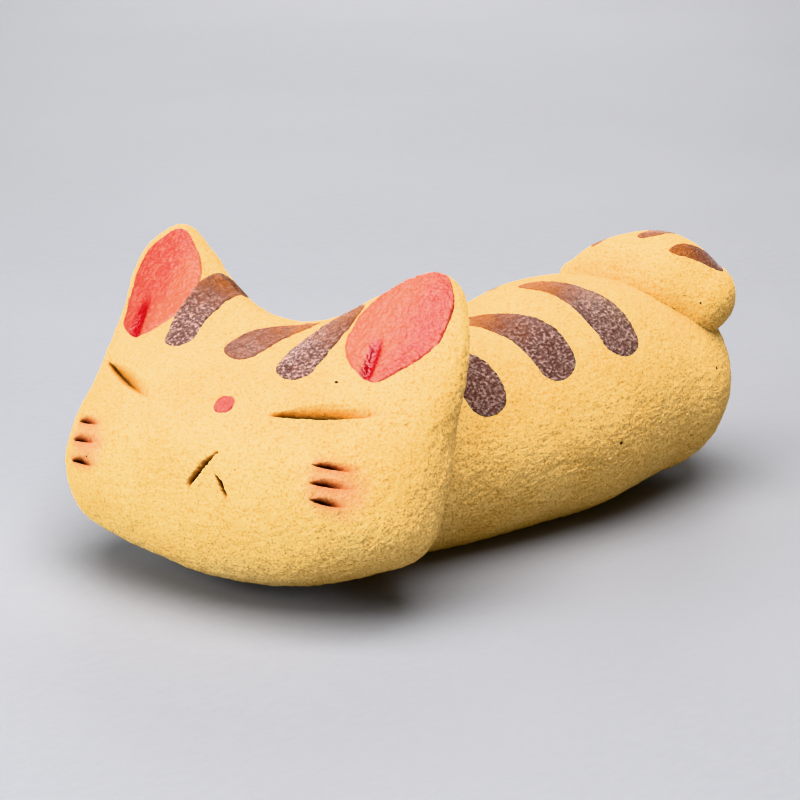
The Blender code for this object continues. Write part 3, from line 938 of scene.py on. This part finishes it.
def coral_look(name, pale, gloss):
    paint = Paint(name)
    tone = paint.math("MULTIPLY_ADD", paint.noise(1.4, detail=3.0), 0.7, paint.attribute("outer"))
    colour = paint.mix(paint.range(tone, 0.25, 1.05), pale, CORAL)
    streaks = paint.noise(0.55, detail=3.0, roughness=0.6, stretch=(1.0, 1.0, 0.25))
    colour = paint.mix(paint.range(streaks, 0.50, 0.66, to_high=0.5), colour, CORAL_DUST)
    grain = paint.noise(0.22, detail=3.0, roughness=0.65)
    colour = paint.mix(paint.range(grain, 0.52, 0.66, to_high=0.6), colour, CORAL_DUST)
    pool = paint.attribute("pool")
    rough = 0.55
    if gloss:
        colour = paint.mix(paint.range(pool, 0.3, 1.0), colour, CORAL_DEEP)
        rough = paint.range(pool, 0.2, 0.9, to_low=0.36, to_high=0.08)
    normal = paint.bump(paint.noise(0.15, detail=2.0, roughness=0.6), 0.04)
    normal = paint.bump(paint.noise(0.34, detail=2.0), 0.16, normal)
    paint.set(Base_Color=colour, Roughness=rough, Normal=normal, Specular_IOR_Level=0.5)
    return paint.material


def floor_look():
    paint = Paint("pale_studio_paper")
    tone = paint.noise(60.0, detail=3.0)
    paler = (*[c * FLOOR_PALER for c in FLOOR_COLOUR], 1)
    colour = paint.mix(paint.range(tone, 0.3, 0.7), (*FLOOR_COLOUR, 1), paler)
    fibres = paint.noise(0.9, detail=3.0, roughness=0.6, stretch=(0.35, 1.0, 1.0))
    colour = paint.mix(paint.range(fibres, 0.42, 0.60, to_high=0.5), colour, paler)
    normal = paint.bump(fibres, 0.06)
    paint.set(Base_Color=colour, Roughness=0.75, Normal=normal, Specular_IOR_Level=0.3)
    return paint.material


def aim(made, target):
    made.rotation_euler = (Vector(target) - made.location).to_track_quat("-Z", "Y").to_euler()


def from_target(target, azimuth, elevation, distance):
    """A place that is seen from target at an azimuth and elevation. Azimuth 0 looks along +Y."""
    a, e = math.radians(azimuth), math.radians(elevation)
    back = Vector((math.sin(a) * math.cos(e), -math.cos(a) * math.cos(e), math.sin(e)))
    return target + back * distance * MM


def make_camera(target):
    lens = bpy.data.cameras.new("camera")
    lens.lens = CAMERA_LENS
    lens.sensor_width = CAMERA_SENSOR
    lens.clip_start = CAMERA_NEAREST
    camera = bpy.data.objects.new("camera", lens)
    camera.location = from_target(target, CAMERA_AZIMUTH, CAMERA_ELEVATION, CAMERA_DISTANCE)
    aim(camera, target)
    bpy.context.scene.collection.objects.link(camera)
    bpy.context.scene.camera = camera


def make_lights(target):
    for name, (azimuth, elevation, distance, size, power, colour) in LIGHTS.items():
        lamp = bpy.data.lights.new(name, "AREA")
        lamp.shape = "SQUARE"
        lamp.size = size * MM
        lamp.energy = power
        lamp.color = colour
        light = bpy.data.objects.new(name, lamp)
        light.location = from_target(target, CAMERA_AZIMUTH + azimuth, elevation, distance)
        aim(light, target)
        bpy.context.scene.collection.objects.link(light)
    world = bpy.data.worlds.new("studio")
    world.use_nodes = True
    world.node_tree.nodes["Background"].inputs["Color"].default_value = (*WORLD_COLOUR, 1)
    world.node_tree.nodes["Background"].inputs["Strength"].default_value = WORLD_STRENGTH
    bpy.context.scene.world = world


def make_floor():
    shape = bmesh.new()
    bmesh.ops.create_grid(shape, x_segments=8, y_segments=8, size=FLOOR_SIZE)
    floor = object_from(mesh_from(shape, "studio_floor"), "studio_floor", floor_look())
    floor.location.z = cad_low.z


def make_clay():
    """The three pieces of clay, with the tail and the head pressed on to the body."""
    look = clay_look()
    body = make_body(look)
    stands_for(body, "body")
    body_tree = surface_of(body)
    tail = make_tail(look, body_tree)
    stands_for(tail, "tail")
    head = make_head(look, body_tree)
    stands_for(head, "head")
    return body_tree, surface_of(tail), surface_of(head)


def make_enamel(body_tree, tail_tree, head_tree):
    """Every brush stroke, dropped on the finished clay."""
    stripe = stripe_look()
    ear = coral_look("coral_ear_enamel", CORAL_PALE, True)
    nose = coral_look("coral_nose_enamel", CORAL_NOSE, False)
    face = smooth_tree(lambda d: from_head(head_shape(d)))
    back = smooth_tree(lambda d: roll_points(d, BODY_ROLL, BODY_ENDS))
    tail_top = smooth_tree(lambda d: roll_points(d, TAIL_ROLL, TAIL_ENDS))
    groups = [
        (HEAD_STROKES, face, head_tree, on_face, "head_stripe_enamel"),
        (BODY_STROKES, back, body_tree, on_body, "body_stripe_enamel"),
        (TAIL_STROKES, tail_top, tail_tree, on_tail, "tail_stripe_enamel"),
    ]
    seed = 100
    for strokes, smooth, clay, place, stripe_slot in groups:
        for name, stations in strokes.items():
            seed += 10
            look, slot = stripe, stripe_slot
            if name.startswith("ear"):
                look, slot = ear, "ear_enamel"
            if name.startswith("nose"):
                look, slot = nose, "nose_enamel"
            piece = enamel(name, stations, smooth, clay, place, look, seed)
            stands_for(piece, name)


def main():
    scene = bpy.context.scene
    scene.view_settings.view_transform = "Khronos PBR Neutral"
    scene.view_settings.gamma = VIEW_GAMMA
    target = (cad_low + cad_high) / 2 + Vector(CAMERA_AIM) * MM
    make_camera(target)
    make_lights(target)
    make_floor()
    body_tree, tail_tree, head_tree = make_clay()
    make_enamel(body_tree, tail_tree, head_tree)


main()
